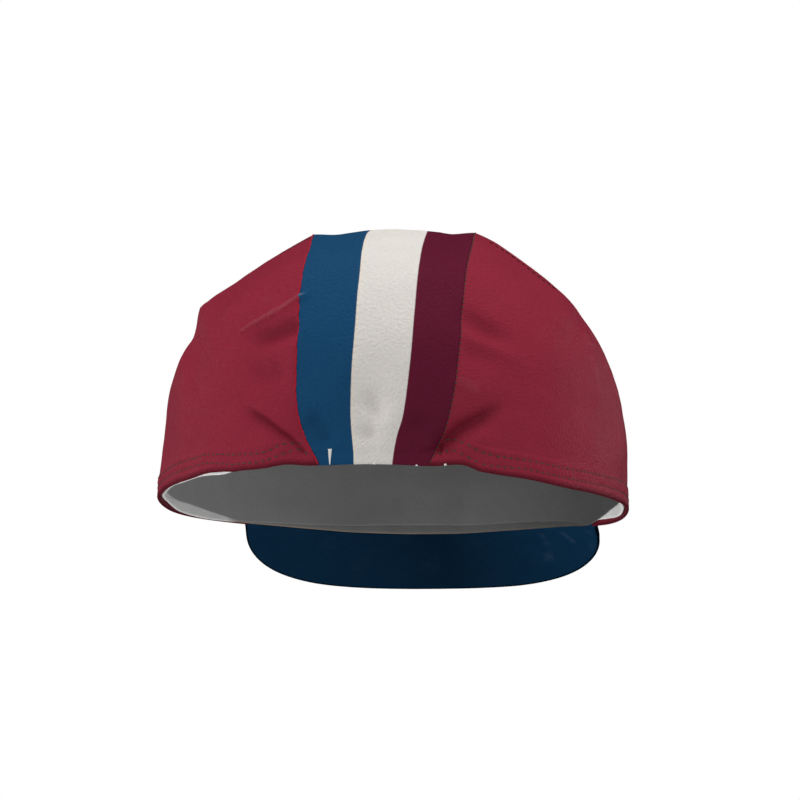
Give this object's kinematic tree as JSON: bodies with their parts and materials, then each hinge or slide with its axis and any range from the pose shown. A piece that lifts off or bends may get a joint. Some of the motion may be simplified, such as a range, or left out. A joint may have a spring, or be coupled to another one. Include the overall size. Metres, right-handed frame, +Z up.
{
  "type": "cycling cap",
  "caption": "Soft cotton cycling cap: crown of two red side panels and a blue, white and maroon middle stripe, with a small navy peak, inner hem tape and nape elastic.",
  "frame": {"origin": "centre of the head opening, in the plane of the rim", "axes": "+Z up to the top of the crown, the peak points to -Y, the nape is at +Y, the wearer's left is +X"},
  "size_m": [0.1624, 0.2573, 0.1057],
  "materials": {
    "red_cotton": "matte woven cotton",
    "striped_cotton": "matte woven cotton, printed in three stripes",
    "white_tape": "matte woven tape",
    "white_elastic": "matte ribbed elastic",
    "navy_cotton": "matte woven cotton"
  },
  "bodies": {
    "root": {"left_panel": "red_cotton", "right_panel": "red_cotton", "center_strip": "striped_cotton", "hem_tape": "white_tape", "back_elastic": "white_elastic", "peak_top": "navy_cotton", "peak_under": "navy_cotton"}
  },
  "joints": []
}
